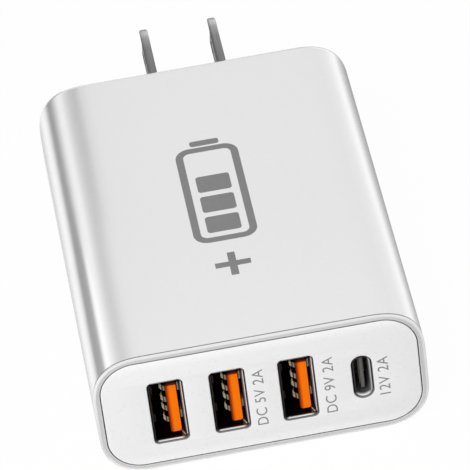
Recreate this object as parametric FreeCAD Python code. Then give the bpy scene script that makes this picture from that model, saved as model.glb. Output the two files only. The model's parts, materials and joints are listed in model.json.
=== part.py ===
# Multi-port USB wall charger with two fixed plug blades, in millimetres.
# X runs across the width, Y from the port face to the blade tips, Z up through the thickness.
import math
import os

import FreeCAD
import Part

from FreeCAD import Vector

# Housing
body_width = 57.0
body_thickness = 25.0
body_length = 80.0
corner_radius = 7.5
wall = 2.0
wall_end = 2.2
wall_end_round = 3.0
rim_width = 1.2
rim_chamfer_width = 1.0
rim_chamfer_depth = 0.5

# Front cover
cover_thickness = 1.8
cover_gap = 0.12
skirt_depth = 4.2
skirt_wall = 1.2
slide_fit = 0.1

# Plug blades
blade_pitch = 12.7
blade_width = 6.35
blade_thickness = 1.52
blade_length = 18.0
blade_drop = 6.0
blade_nose_length = 4.0
blade_nose_flat = 2.4
blade_tip_thickness = 0.8
blade_hole_diameter = 3.2
blade_hole_reach = 11.7
blade_tail = 3.0
slot_clearance = 0.05
carrier_depth = 5.0
carrier_border = 2.5
rib_thickness = 1.2
lead_width = 1.6
lead_thickness = 0.6
lead_bend = 3.0

# Sockets, common
usb_a_x = (-16.2, -5.6, 6.2)
usb_c_x = 17.3
socket_drop = 0.4
socket_clearance = 0.2
socket_length = 13.0
socket_recess = 0.3
sheet = 0.3
mouth_flare = 0.2
mouth_depth = 0.5

# USB-A sockets
usb_a_long = 13.1
usb_a_short = 5.7
usb_a_corner = 0.7
usb_a_tongue_long = 11.1
usb_a_tongue_thickness = 1.84
usb_a_tongue_bevel = 0.3
usb_a_tongue_side_gap = 0.66
usb_a_tongue_recess = 0.9
usb_a_block_length = 3.8
usb_a_contact_offsets = (-3.5, -1.0, 1.0, 3.5)
usb_a_contact_width = 1.0
usb_a_contact_thickness = 0.2
usb_a_contact_recess = 0.8
usb_a_contact_spring = 4.6
usb_a_contact_rise = 1.0
usb_a_contact_nose = 1.1
usb_a_contact_nose_shares = (0.42, 0.6)
usb_a_groove_depth = 0.3
finger_offset = 3.1
finger_width = 1.7
finger_length = 4.4
finger_lift = 0.4
finger_start = 2.4
finger_slit = 0.35

# USB-C socket
usb_c_long = 8.94
usb_c_short = 3.16
usb_c_tongue_long = 6.69
usb_c_tongue_thickness = 0.7
usb_c_tongue_recess = 0.9
usb_c_tongue_length = 4.8
usb_c_contact_count = 12
usb_c_contact_pitch = 0.5
usb_c_contact_width = 0.28
usb_c_contact_thickness = 0.08
usb_c_contact_recess = 0.7

# Boards and the rails that carry the main board
board_thickness = 1.6
board_rise = 3.0
board_side_gap = 2.0
board_end_gap = 1.0
rail_grip = 1.2
rail_height = 1.2
port_board_top_gap = 1.2
port_board_tab = 5.0
port_board_tab_spread = 15.0

# Transformer
core_width = 22.0
core_length = 17.0
core_thickness = 7.0
core_leg = 3.2
core_centre_leg = 6.2
core_yoke = 3.0
bobbin_wall = 0.8
bobbin_flange_rise = 2.5
winding_margin = 0.6

# Parts on the main board
output_row_share = 0.14
middle_row_share = 0.46
mains_row_share = 0.84
part_gap = 0.4
input_capacitor_top_gap = 1.4
output_capacitor_diameter = 8.0
output_capacitor_height = 11.0
output_capacitor_spacing = 9.5
heat_sink_thickness = 1.5
heat_sink_length = 20.0
heat_sink_wing = 5.5
transistor_top_gap = 2.8
transistor_width = 10.0
transistor_depth = 4.5
transistor_tab_height = 5.2
transistor_tab_thickness = 1.3
transistor_leg_height = 1.2
transistor_leg_width = 0.8
screw_diameter = 2.6
screw_head_diameter = 4.6
screw_head_height = 1.8
screw_slot = 0.6
choke_outer_diameter = 10.0
choke_inner_diameter = 5.4
choke_height = 4.6
choke_wire = 0.7
choke_winding_angle = 130.0
filter_capacitor_size = (6.0, 12.5, 11.0)
rectifier_size = (12.0, 3.4, 9.5)
rectifier_notch = 2.5
fuse_diameter = 8.4
fuse_height = 7.7
varistor_diameter = 9.0
varistor_thickness = 3.6
varistor_leg_height = 1.5
varistor_leg_width = 0.8
optocoupler_size = (4.6, 6.4, 3.4)
primary_controller_size = (6.2, 5.0, 1.7)
port_controller_size = (5.0, 1.2, 5.0)

# Derived positions
front_y = -(body_length + blade_length) / 2
wall_y = front_y + body_length
tip_y = wall_y + blade_length
cover_seat_y = front_y + cover_thickness
skirt_end_y = cover_seat_y + skirt_depth
cavity_end_y = wall_y - wall_end
cavity_width = body_width - 2 * wall
cavity_height = body_thickness - 2 * wall
cavity_radius = corner_radius - wall
ceiling_z = body_thickness - wall
middle_z = body_thickness / 2
socket_z = middle_z - socket_drop
shell_front_y = front_y + socket_recess
shell_end_y = shell_front_y + socket_length
usb_c_block_y = shell_front_y + usb_c_tongue_recess + usb_c_tongue_length
blade_x = (-blade_pitch / 2, blade_pitch / 2)
blade_z = body_thickness - blade_drop
carrier_half_width = blade_pitch / 2 + blade_thickness / 2 + carrier_border
carrier_bottom = blade_z - blade_width / 2 - carrier_border
carrier_front_y = cavity_end_y - carrier_depth
tail_end_y = carrier_front_y - blade_tail
board_z = wall + board_rise
board_top = board_z + board_thickness
board_half = cavity_width / 2 - board_side_gap
board_front_y = shell_end_y
board_rear_y = cavity_end_y - board_end_gap
port_board_rear_y = board_front_y + board_thickness
lead_y = tail_end_y - lead_bend
row_length = lead_y - port_board_rear_y
output_row_y = port_board_rear_y + output_row_share * row_length
middle_row_y = port_board_rear_y + middle_row_share * row_length
mains_row_y = port_board_rear_y + mains_row_share * row_length
part_side_x = board_half - rail_grip - part_gap
input_capacitor_diameter = part_side_x - core_width / 2 - part_gap
choke_reach = choke_outer_diameter / 2 + choke_wire
transistor_top = ceiling_z - transistor_top_gap
screw_z = transistor_top - transistor_tab_height / 2
sink_face_x = heat_sink_thickness - part_side_x


def box(x0, x1, y0, y1, z0, z1):
    return Part.makeBox(x1 - x0, y1 - y0, z1 - z0, Vector(x0, y0, z0))


def standing_box(size, x, y, z):
    # A box of the given size centred on x and y, standing at height z
    return box(x - size[0] / 2, x + size[0] / 2, y - size[1] / 2, y + size[1] / 2, z, z + size[2])


def rounded_outline(width, height, radius, y, x=0.0, z=middle_z):
    # Rounded rectangle in the plane at y, centred on x and z
    half_w = width / 2
    half_h = height / 2
    diagonal = radius * (1 - math.sqrt(0.5))
    edges = []
    for sx, sz in ((1, 1), (-1, 1), (-1, -1), (1, -1)):
        side = Vector(x + sx * half_w, y, z + sz * (half_h - radius))
        bend = Vector(x + sx * (half_w - diagonal), y, z + sz * (half_h - diagonal))
        cap = Vector(x + sx * (half_w - radius), y, z + sz * half_h)
        corner = (side, bend, cap) if sx * sz > 0 else (cap, bend, side)
        if edges and edges[-1].lastVertex(True).Point.distanceToPoint(corner[0]) > 1e-6:
            edges.append(Part.makeLine(edges[-1].lastVertex(True).Point, corner[0]))
        edges.append(Part.Arc(*corner).toShape())
    start = edges[0].firstVertex(True).Point
    end = edges[-1].lastVertex(True).Point
    if end.distanceToPoint(start) > 1e-6:
        edges.append(Part.makeLine(end, start))
    return Part.Wire(edges)


def prism(width, height, radius, y0, y1, x=0.0, z=middle_z):
    face = Part.Face(rounded_outline(width, height, radius, y0, x, z))
    return face.extrude(Vector(0, y1 - y0, 0))


def extruded(points, direction):
    # A closed polygon carried along a straight direction
    return Part.Face(Part.makePolygon(points + points[:1])).extrude(direction)


def bevelled_bar(width, height, bevel, y0, y1, x, z):
    # A bar along Y with its four long edges cut off
    half_w = width / 2
    half_h = height / 2
    points = []
    for sx, sz in ((1, 1), (-1, 1), (-1, -1), (1, -1)):
        side = Vector(x + sx * half_w, y0, z + sz * (half_h - bevel))
        cap = Vector(x + sx * (half_w - bevel), y0, z + sz * half_h)
        points += [side, cap] if sx * sz > 0 else [cap, side]
    return extruded(points, Vector(0, y1 - y0, 0))


def cylinder(diameter, height, base, axis=Vector(0, 0, 1)):
    return Part.makeCylinder(diameter / 2, height, base, axis)


def make_body():
    # Outside of the housing: chamfered rim, straight section, rounded wall end
    chamfer_y = front_y + rim_chamfer_depth
    small = rounded_outline(body_width - 2 * rim_chamfer_width, body_thickness - 2 * rim_chamfer_width,
                            corner_radius - rim_chamfer_width, front_y)
    full = rounded_outline(body_width, body_thickness, corner_radius, chamfer_y)
    rim = Part.makeLoft([small, full], True, True)
    body = rim.fuse(prism(body_width, body_thickness, corner_radius, chamfer_y, wall_y)).removeSplitter()
    end_edges = [e for e in body.Edges if min(v.Point.y for v in e.Vertexes) > wall_y - 1e-3]
    return body.makeFillet(wall_end_round, end_edges)


def make_rails():
    # Two rails on each side wall, with the main board's edge between them
    start_y = skirt_end_y + slide_fit
    inner_x = board_half - rail_grip
    room = prism(body_width - wall, body_thickness - wall, corner_radius - wall / 2,
                 start_y, cavity_end_y + wall_end / 2)
    rails = []
    for side in (-1, 1):
        for z0 in (board_z - rail_height, board_top + slide_fit):
            x0, x1 = sorted((side * inner_x, side * body_width / 2))
            rails.append(box(x0, x1, start_y, wall_y, z0, z0 + rail_height).common(room))
    return rails


def make_carrier_ribs():
    # Upright ribs on the wall end, one each side of the blade carrier
    near = carrier_half_width + slide_fit
    end_y = cavity_end_y + wall_end / 2
    ribs = []
    for side in (-1, 1):
        x0, x1 = sorted((side * near, side * (near + rib_thickness)))
        ribs.append(box(x0, x1, carrier_front_y, end_y, carrier_bottom, ceiling_z + wall / 2))
    return ribs


def make_housing():
    pocket = prism(body_width - 2 * rim_width, body_thickness - 2 * rim_width, corner_radius - rim_width,
                   front_y - wall, cover_seat_y)
    cavity = prism(cavity_width, cavity_height, cavity_radius, cover_seat_y, cavity_end_y)
    housing = make_body().cut([pocket, cavity])
    housing = housing.fuse(make_rails() + make_carrier_ribs()).removeSplitter()
    return housing.cut(blade_slots(cavity_end_y - wall, wall_y + wall, slot_clearance))


def make_front_cover():
    rim = rim_width + cover_gap
    plate = prism(body_width - 2 * rim, body_thickness - 2 * rim, corner_radius - rim, front_y, cover_seat_y)
    inset = wall + slide_fit
    outer, inner = (prism(body_width - 2 * edge, body_thickness - 2 * edge, corner_radius - edge,
                          cover_seat_y, skirt_end_y) for edge in (inset, inset + skirt_wall))
    grow = 2 * socket_clearance
    ports = [prism(usb_a_short + grow, usb_a_long + grow, usb_a_corner + socket_clearance,
                   front_y - wall, cover_seat_y + wall, x, socket_z) for x in usb_a_x]
    ports.append(prism(usb_c_short + grow, usb_c_long + grow, usb_c_short / 2 + socket_clearance,
                       front_y - wall, cover_seat_y + wall, usb_c_x, socket_z))
    return plate.fuse(outer.cut(inner)).removeSplitter().cut(ports)


def blade_slots(y0, y1, clearance):
    half_x = blade_thickness / 2 + clearance
    half_z = blade_width / 2 + clearance
    return [box(x - half_x, x + half_x, y0, y1, blade_z - half_z, blade_z + half_z) for x in blade_x]


def make_blade(x):
    # Side outline with a rounded nose, crossed with a plan outline that thins to the tip
    drop = (blade_width - blade_nose_flat) / 2
    nose_y = tip_y - blade_nose_length
    bend = (blade_nose_length ** 2 + drop ** 2) / (2 * drop)
    half_angle = math.asin(blade_nose_length / bend) / 2
    x0 = x - blade_thickness / 2
    points = []
    for sign in (-1, 1):
        start = Vector(x0, nose_y, blade_z + sign * blade_width / 2)
        middle = Vector(x0, nose_y + bend * math.sin(half_angle),
                        blade_z + sign * (blade_width / 2 - bend * (1 - math.cos(half_angle))))
        points.append((start, middle, Vector(x0, tip_y, blade_z + sign * blade_nose_flat / 2)))
    low, high = points
    tail_low = Vector(x0, tail_end_y, blade_z - blade_width / 2)
    tail_high = Vector(x0, tail_end_y, blade_z + blade_width / 2)
    outline = Part.Wire([Part.makeLine(tail_low, low[0]), Part.Arc(*low).toShape(),
                         Part.makeLine(low[2], high[2]), Part.Arc(*reversed(high)).toShape(),
                         Part.makeLine(high[0], tail_high), Part.makeLine(tail_high, tail_low)])
    side = Part.Face(outline).extrude(Vector(blade_thickness, 0, 0))
    full = blade_thickness / 2
    thin = blade_tip_thickness / 2
    taper_y = tip_y - blade_nose_length / 2
    plan = extruded([Vector(x + px, py, blade_z - blade_width) for px, py in
                     ((-full, tail_end_y), (-full, taper_y), (-thin, tip_y),
                      (thin, tip_y), (full, taper_y), (full, tail_end_y))], Vector(0, 0, 2 * blade_width))
    hole = cylinder(blade_hole_diameter, 2 * blade_width,
                    Vector(x - blade_width, wall_y + blade_hole_reach, blade_z), Vector(1, 0, 0))
    return side.common(plan).cut(hole)


def make_blade_carrier():
    block = box(-carrier_half_width, carrier_half_width, carrier_front_y, cavity_end_y,
                carrier_bottom, ceiling_z)
    return block.cut(blade_slots(carrier_front_y, cavity_end_y, 0.0))


def make_lead(x):
    # Flat strip from the blade's inner end, bent down to the main board
    pivot = Vector(x - lead_width / 2, tail_end_y, blade_z - lead_bend)
    half_turn = math.pi / 4
    sides = []
    for radius in (lead_bend - lead_thickness / 2, lead_bend + lead_thickness / 2):
        high = pivot + Vector(0, 0, radius)
        bend = pivot + Vector(0, -radius * math.sin(half_turn), radius * math.cos(half_turn))
        turned = pivot + Vector(0, -radius, 0)
        sides.append((high, bend, turned, Vector(turned.x, turned.y, board_top)))
    (high, bend, turned, foot), (high_2, bend_2, turned_2, foot_2) = sides
    outline = Part.Wire([Part.Arc(high, bend, turned).toShape(), Part.makeLine(turned, foot),
                         Part.makeLine(foot, foot_2), Part.makeLine(foot_2, turned_2),
                         Part.Arc(turned_2, bend_2, high_2).toShape(), Part.makeLine(high_2, high)])
    return Part.Face(outline).extrude(Vector(lead_width, 0, 0))


def flared_mouth(short, long, x):
    # Four flat slopes that widen the front of a socket's opening
    rings = []
    for grow, y in ((mouth_flare, shell_front_y), (0.0, shell_front_y + mouth_depth)):
        half_x = short / 2 + grow
        half_z = long / 2 + grow
        corners = [Vector(x + sx * half_x, y, socket_z + sz * half_z)
                   for sx, sz in ((-1, -1), (1, -1), (1, 1), (-1, 1))]
        rings.append(Part.makePolygon(corners + corners[:1]))
    return Part.makeLoft(rings, True, True)


def make_usb_a_shell(x):
    # Folded sheet box with a flared mouth and two slit-out spring fingers on each broad side
    outer = prism(usb_a_short, usb_a_long, usb_a_corner, shell_front_y, shell_end_y, x, socket_z)
    inner = prism(usb_a_short - 2 * sheet, usb_a_long - 2 * sheet, usb_a_corner - sheet,
                  shell_front_y - wall, shell_end_y + wall, x, socket_z)
    mouth = flared_mouth(usb_a_short - 2 * sheet, usb_a_long - 2 * sheet, x)
    windows = []
    fingers = []
    tip_y0 = shell_front_y + finger_start
    root_y = tip_y0 + finger_length
    for side in (-1, 1):
        face_x = x + side * usb_a_short / 2
        back_x = face_x - side * sheet
        lift = side * finger_lift
        for offset in (-finger_offset, finger_offset):
            z0 = socket_z + offset - finger_width / 2
            z1 = z0 + finger_width
            x0, x1 = sorted((face_x, back_x))
            windows.append(box(x0, x1, tip_y0 - finger_slit, root_y, z0 - finger_slit, z1 + finger_slit))
            fingers.append(extruded([Vector(face_x, root_y, z0), Vector(face_x - lift, tip_y0, z0),
                                     Vector(back_x - lift, tip_y0, z0), Vector(back_x, root_y, z0)],
                                    Vector(0, 0, finger_width)))
    return outer.cut([inner, mouth] + windows).fuse(fingers).removeSplitter()


def tongue_face_x(x):
    # Side of the tongue that carries the contacts
    inner_wall = x + usb_a_short / 2 - sheet
    return inner_wall - usb_a_tongue_side_gap - usb_a_tongue_thickness


def make_usb_a_tongue(x):
    tongue_y = shell_front_y + usb_a_tongue_recess
    block_y = shell_end_y - usb_a_block_length
    face_x = tongue_face_x(x)
    tongue = bevelled_bar(usb_a_tongue_thickness, usb_a_tongue_long, usb_a_tongue_bevel, tongue_y, block_y,
                          face_x + usb_a_tongue_thickness / 2, socket_z)
    block = prism(usb_a_short - 2 * sheet, usb_a_long - 2 * sheet, usb_a_corner - sheet,
                  block_y, shell_end_y, x, socket_z)
    groove_y = tongue_y + usb_a_contact_recess - usb_a_contact_thickness
    grooves = []
    for offset in usb_a_contact_offsets:
        z0 = socket_z + offset - usb_a_contact_width / 2
        z1 = z0 + usb_a_contact_width
        grooves.append(box(face_x, face_x + usb_a_groove_depth, groove_y, shell_end_y, z0, z1))
    return tongue.fuse(block).removeSplitter().cut(grooves)


def make_usb_a_contacts(x):
    # Bent springs: flat in the groove at the back, sloped up to a round nose at the front
    floor_x = tongue_face_x(x) + usb_a_groove_depth
    tip_y0 = shell_front_y + usb_a_tongue_recess + usb_a_contact_recess
    bend_y = tip_y0 + usb_a_contact_spring
    nose_depth, nose_rise = usb_a_contact_nose_shares
    contacts = []
    for offset in usb_a_contact_offsets:
        z0 = socket_z + offset - usb_a_contact_width / 2
        (tip, nose, crown, bend, end), (top_tip, top_nose, top_crown, top_bend, top_end) = (
            [Vector(x1, tip_y0, z0),
             Vector(x1 - nose_rise * usb_a_contact_rise, tip_y0 + nose_depth * usb_a_contact_nose, z0),
             Vector(x1 - usb_a_contact_rise, tip_y0 + usb_a_contact_nose, z0),
             Vector(x1, bend_y, z0), Vector(x1, shell_end_y, z0)]
            for x1 in (floor_x, floor_x - usb_a_contact_thickness))
        outline = Part.Wire([Part.Arc(tip, nose, crown).toShape(), Part.makeLine(crown, bend),
                             Part.makeLine(bend, end), Part.makeLine(end, top_end),
                             Part.makeLine(top_end, top_bend), Part.makeLine(top_bend, top_crown),
                             Part.Arc(top_crown, top_nose, top_tip).toShape(), Part.makeLine(top_tip, tip)])
        contacts.append(Part.Face(outline).extrude(Vector(0, 0, usb_a_contact_width)))
    return Part.makeCompound(contacts)


def make_usb_c_shell():
    outer = prism(usb_c_short, usb_c_long, usb_c_short / 2, shell_front_y, shell_end_y, usb_c_x, socket_z)
    inner = prism(usb_c_short - 2 * sheet, usb_c_long - 2 * sheet, usb_c_short / 2 - sheet,
                  shell_front_y - wall, shell_end_y + wall, usb_c_x, socket_z)
    return outer.cut(inner)


def make_usb_c_tongue():
    tongue_y = shell_front_y + usb_c_tongue_recess
    tongue = prism(usb_c_tongue_thickness, usb_c_tongue_long, usb_c_tongue_thickness / 4,
                   tongue_y, usb_c_block_y, usb_c_x, socket_z)
    block = prism(usb_c_short - 2 * sheet, usb_c_long - 2 * sheet, usb_c_short / 2 - sheet,
                  usb_c_block_y, shell_end_y, usb_c_x, socket_z)
    return tongue.fuse(block).removeSplitter()


def make_usb_c_contacts():
    y0 = shell_front_y + usb_c_tongue_recess + usb_c_contact_recess
    first_z = socket_z - (usb_c_contact_count - 1) * usb_c_contact_pitch / 2 - usb_c_contact_width / 2
    contacts = []
    for side in (-1, 1):
        face_x = usb_c_x + side * usb_c_tongue_thickness / 2
        x0, x1 = sorted((face_x, face_x + side * usb_c_contact_thickness))
        for i in range(usb_c_contact_count):
            z0 = first_z + i * usb_c_contact_pitch
            contacts.append(box(x0, x1, y0, usb_c_block_y, z0, z0 + usb_c_contact_width))
    return Part.makeCompound(contacts)


def board_tabs():
    half = port_board_tab / 2
    return [box(x - half, x + half, board_front_y, port_board_rear_y, board_z, board_top)
            for x in (-port_board_tab_spread, 0.0, port_board_tab_spread)]


def make_main_board():
    board = box(-board_half, board_half, board_front_y, board_rear_y, board_z, board_top)
    return board.cut(board_tabs())


def make_port_board():
    # Stands on the main board's front edge with its tabs in the notches there
    half = board_half - rail_grip - slide_fit
    board = box(-half, half, board_front_y, port_board_rear_y, board_top, ceiling_z - port_board_top_gap)
    return board.fuse(board_tabs()).removeSplitter()


def transformer_middle():
    return Vector(0, middle_row_y, board_top + core_thickness / 2 + bobbin_flange_rise)


def block_at(middle, width, length, height):
    # A box centred on a point
    return box(middle.x - width / 2, middle.x + width / 2, middle.y - length / 2, middle.y + length / 2,
               middle.z - height / 2, middle.z + height / 2)


def make_transformer_core():
    middle = transformer_middle()
    window_length = core_length - 2 * core_yoke
    window_width = (core_width - core_centre_leg) / 2 - core_leg
    shift = core_centre_leg / 2 + window_width / 2
    windows = [block_at(middle + Vector(side * shift, 0, 0), window_width, window_length, 2 * core_thickness)
               for side in (-1, 1)]
    return block_at(middle, core_width, core_length, core_thickness).cut(windows)


def make_transformer_bobbin():
    middle = transformer_middle()
    length = core_length - 2 * core_yoke
    leg = block_at(middle, core_centre_leg, 2 * length, core_thickness)
    grow = 2 * bobbin_wall
    tube = block_at(middle, core_centre_leg + grow, length, core_thickness + grow)
    flange_width = core_width - 2 * core_leg - 2 * slide_fit
    flange_height = core_thickness + 2 * bobbin_flange_rise
    shift = Vector(0, (length - bobbin_wall) / 2, 0)
    flanges = [block_at(middle + shift * side, flange_width, bobbin_wall, flange_height) for side in (-1, 1)]
    return tube.fuse(flanges).removeSplitter().cut(leg)


def make_transformer_winding():
    middle = transformer_middle()
    half = (core_length - 2 * core_yoke - 2 * bobbin_wall) / 2
    grow = 2 * bobbin_wall
    tube = block_at(middle, core_centre_leg + grow, 4 * half, core_thickness + grow)
    width = core_width - 2 * core_leg - 2 * winding_margin
    height = core_thickness + 2 * bobbin_flange_rise - 2 * winding_margin
    wound = prism(width, height, bobbin_flange_rise, middle.y - half, middle.y + half, middle.x, middle.z)
    return wound.cut(tube)


def make_capacitor(diameter, height, x, y):
    return cylinder(diameter, height, Vector(x, y, board_top))


def input_capacitors():
    # Two tall cans in line along the side, in front of the choke
    diameter = input_capacitor_diameter
    x = part_side_x - diameter / 2
    rear_y = choke_middle().y - choke_reach - part_gap - diameter / 2
    height = ceiling_z - board_top - input_capacitor_top_gap
    return [make_capacitor(diameter, height, x, rear_y - i * (diameter + part_gap)) for i in (1, 0)]


def output_capacitors():
    return [make_capacitor(output_capacitor_diameter, output_capacitor_height,
                           i * output_capacitor_spacing, output_row_y) for i in (-1, 0, 1)]


def make_heat_sink():
    # Bent plate: an upright behind the transistor and a wing turned across the board
    y0 = middle_row_y - heat_sink_length / 2
    upright = box(-part_side_x, sink_face_x, y0, y0 + heat_sink_length, board_top, transistor_top)
    wing_x = heat_sink_wing - part_side_x
    wing = box(-part_side_x, wing_x, y0, y0 + heat_sink_thickness, board_top, transistor_top)
    hole = cylinder(screw_diameter, heat_sink_thickness,
                    Vector(-part_side_x, middle_row_y, screw_z), Vector(1, 0, 0))
    return upright.fuse(wing).removeSplitter().cut(hole)


def make_transistor():
    # Flat tab against the heat sink, thicker body below the screw, three legs to the board
    y0 = middle_row_y - transistor_width / 2
    y1 = y0 + transistor_width
    z0 = board_top + transistor_leg_height
    leg_x = sink_face_x + transistor_tab_thickness
    tab = box(sink_face_x, leg_x, y0, y1, z0, transistor_top)
    body_top = transistor_top - transistor_tab_height
    body = box(sink_face_x, sink_face_x + transistor_depth, y0, y1, z0, body_top)
    half = transistor_leg_width / 2
    legs = [box(leg_x, leg_x + transistor_leg_width, y - half, y + half, board_top, z0)
            for y in (middle_row_y + i * transistor_width / 4 for i in (-1, 0, 1))]
    hole = cylinder(screw_diameter, transistor_tab_thickness,
                    Vector(sink_face_x, middle_row_y, screw_z), Vector(1, 0, 0))
    return tab.fuse([body] + legs).removeSplitter().cut(hole)


def make_transistor_screw():
    start = Vector(-part_side_x, middle_row_y, screw_z)
    shank_length = heat_sink_thickness + transistor_tab_thickness
    shank = cylinder(screw_diameter, shank_length, start, Vector(1, 0, 0))
    seat = start + Vector(shank_length, 0, 0)
    head = cylinder(screw_head_diameter, screw_head_height, seat, Vector(1, 0, 0))
    top = seat + Vector(screw_head_height, 0, 0)
    slot = block_at(top, screw_head_height, 2 * screw_head_diameter, screw_slot)
    return shank.fuse(head).removeSplitter().cut(slot)


def choke_middle():
    return Vector(part_side_x - choke_reach, board_rear_y - part_gap - choke_reach,
                  board_top + choke_wire + choke_height / 2)


def ring_sector(grow, angle):
    # Square-section ring about the choke's upright axis, over part or all of a turn
    middle = choke_middle()
    inner = choke_inner_diameter / 2 - grow
    outer = choke_outer_diameter / 2 + grow
    half = choke_height / 2 + grow
    corners = ((inner, -half), (outer, -half), (outer, half), (inner, half), (inner, -half))
    section = Part.Face(Part.makePolygon([middle + Vector(r, 0, z) for r, z in corners]))
    return section.revolve(middle, Vector(0, 0, 1), angle)


def make_choke_winding(turn):
    sector = ring_sector(choke_wire, choke_winding_angle)
    sector.rotate(choke_middle(), Vector(0, 0, 1), turn - choke_winding_angle / 2)
    return sector.cut(ring_sector(0.0, 360.0))


def make_filter_capacitor():
    x = filter_capacitor_size[0] / 2 - part_side_x
    y = board_rear_y - part_gap - filter_capacitor_size[1] / 2
    return standing_box(filter_capacitor_size, x, y, board_top)


def make_bridge_rectifier():
    # Upright flat block with one top corner cut off
    width, depth, height = rectifier_size
    y = middle_row_y + core_length / 2 + part_gap + depth / 2
    top = board_top + height
    corner = [Vector(width / 2, y - depth, top), Vector(width / 2 - rectifier_notch, y - depth, top),
              Vector(width / 2, y - depth, top - rectifier_notch)]
    return standing_box(rectifier_size, 0.0, y, board_top).cut(extruded(corner, Vector(0, 2 * depth, 0)))


def make_fuse():
    return cylinder(fuse_diameter, fuse_height, Vector(-fuse_diameter / 2 - part_gap, mains_row_y, board_top))


def make_varistor():
    # Upright disc on two legs
    x = varistor_diameter / 2 + part_gap
    middle_height = board_top + varistor_leg_height + varistor_diameter / 2
    disc = cylinder(varistor_diameter, varistor_thickness,
                    Vector(x, mains_row_y - varistor_thickness / 2, middle_height), Vector(0, 1, 0))
    size = (varistor_leg_width, varistor_leg_width, middle_height - board_top)
    legs = [standing_box(size, x + side * varistor_diameter / 4, mains_row_y, board_top) for side in (-1, 1)]
    return disc.fuse(legs).removeSplitter()


def output_side_x():
    # Middle of the free strip between the output capacitors and the board's rail
    return (output_capacitor_spacing + output_capacitor_diameter / 2 + part_side_x) / 2


def make_optocoupler():
    return standing_box(optocoupler_size, output_side_x(), output_row_y, board_top)


def make_primary_controller():
    return standing_box(primary_controller_size, -output_side_x(), output_row_y, board_top)


def make_port_controller(x):
    size = port_controller_size
    return standing_box(size, x, port_board_rear_y + size[1] / 2, middle_z + size[2] / 4)


def make_parts():
    parts = {"housing": make_housing()}
    parts["front_cover"] = make_front_cover()
    parts["blade_carrier"] = make_blade_carrier()
    for name, x in zip(("left", "right"), blade_x):
        parts["blade_" + name] = make_blade(x)
        parts["lead_" + name] = make_lead(x)
    for i, x in enumerate(usb_a_x, 1):
        parts["usb_a_shell_%d" % i] = make_usb_a_shell(x)
        parts["usb_a_tongue_%d" % i] = make_usb_a_tongue(x)
        parts["usb_a_contacts_%d" % i] = make_usb_a_contacts(x)
    parts["usb_c_shell"] = make_usb_c_shell()
    parts["usb_c_tongue"] = make_usb_c_tongue()
    parts["usb_c_contacts"] = make_usb_c_contacts()
    parts["main_board"] = make_main_board()
    parts["port_board"] = make_port_board()
    parts["transformer_core"] = make_transformer_core()
    parts["transformer_bobbin"] = make_transformer_bobbin()
    parts["transformer_winding"] = make_transformer_winding()
    for i, can in enumerate(input_capacitors(), 1):
        parts["input_capacitor_%d" % i] = can
    for i, can in enumerate(output_capacitors(), 1):
        parts["output_capacitor_%d" % i] = can
    parts["heat_sink"] = make_heat_sink()
    parts["switching_transistor"] = make_transistor()
    parts["transistor_screw"] = make_transistor_screw()
    parts["choke_core"] = ring_sector(0.0, 360.0)
    parts["choke_winding_1"] = make_choke_winding(90.0)
    parts["choke_winding_2"] = make_choke_winding(270.0)
    parts["filter_capacitor"] = make_filter_capacitor()
    parts["bridge_rectifier"] = make_bridge_rectifier()
    parts["mains_fuse"] = make_fuse()
    parts["varistor"] = make_varistor()
    parts["optocoupler"] = make_optocoupler()
    parts["primary_controller"] = make_primary_controller()
    parts["port_controller_1"] = make_port_controller(-port_board_tab_spread / 2)
    parts["port_controller_2"] = make_port_controller(port_board_tab_spread)
    return parts


os.makedirs("parts", exist_ok=True)
for name, shape in make_parts().items():
    shape.exportStep("parts/" + name + ".step")
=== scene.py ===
import json
import math

import bpy
import numpy as np
from mathutils import Matrix, Vector
from mathutils.geometry import tessellate_polygon


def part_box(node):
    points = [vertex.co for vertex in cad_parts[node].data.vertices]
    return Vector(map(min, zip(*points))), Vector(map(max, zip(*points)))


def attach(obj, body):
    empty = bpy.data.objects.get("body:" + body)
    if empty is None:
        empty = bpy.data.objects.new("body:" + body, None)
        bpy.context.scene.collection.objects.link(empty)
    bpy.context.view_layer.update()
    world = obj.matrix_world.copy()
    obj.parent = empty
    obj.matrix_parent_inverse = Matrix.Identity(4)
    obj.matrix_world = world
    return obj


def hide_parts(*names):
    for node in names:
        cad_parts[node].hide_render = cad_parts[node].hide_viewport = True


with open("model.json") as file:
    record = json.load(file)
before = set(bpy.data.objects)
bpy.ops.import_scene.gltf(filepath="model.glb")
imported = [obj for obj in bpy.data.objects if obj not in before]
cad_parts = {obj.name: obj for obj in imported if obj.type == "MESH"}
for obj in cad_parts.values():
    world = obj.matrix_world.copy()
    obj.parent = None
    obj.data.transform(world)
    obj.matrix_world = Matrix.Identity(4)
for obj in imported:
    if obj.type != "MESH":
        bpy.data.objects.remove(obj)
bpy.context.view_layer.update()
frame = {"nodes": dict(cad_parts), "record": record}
nodes = frame["nodes"]
mm = 0.001  # sizes below are written in millimetres
print("frame loaded:", len(nodes), "nodes")


def boxOf(node):
    # lowest and highest corner of a node, in millimetres
    return tuple(np.array(corner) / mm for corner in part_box(node))


housingLow, housingHigh = boxOf("housing")
frontY, wallY, topZ = housingLow[1], housingHigh[1], housingHigh[2]
usbAPorts = (1, 2, 3)


# meshes from arrays: a solid is its points, its faces and one material mark for each face

def quarterArc(power, steps):
    # quarter of the curve |a|^power + |b|^power = 1, spaced evenly by the turn of its normal
    turn = np.linspace(0.0, math.pi / 2, steps)
    a = np.cos(turn).clip(0) ** (1 / (power - 1))
    b = np.sin(turn).clip(0) ** (1 / (power - 1))
    return np.stack([a, b], -1) / ((a ** power + b ** power) ** (1 / power))[:, None]


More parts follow.
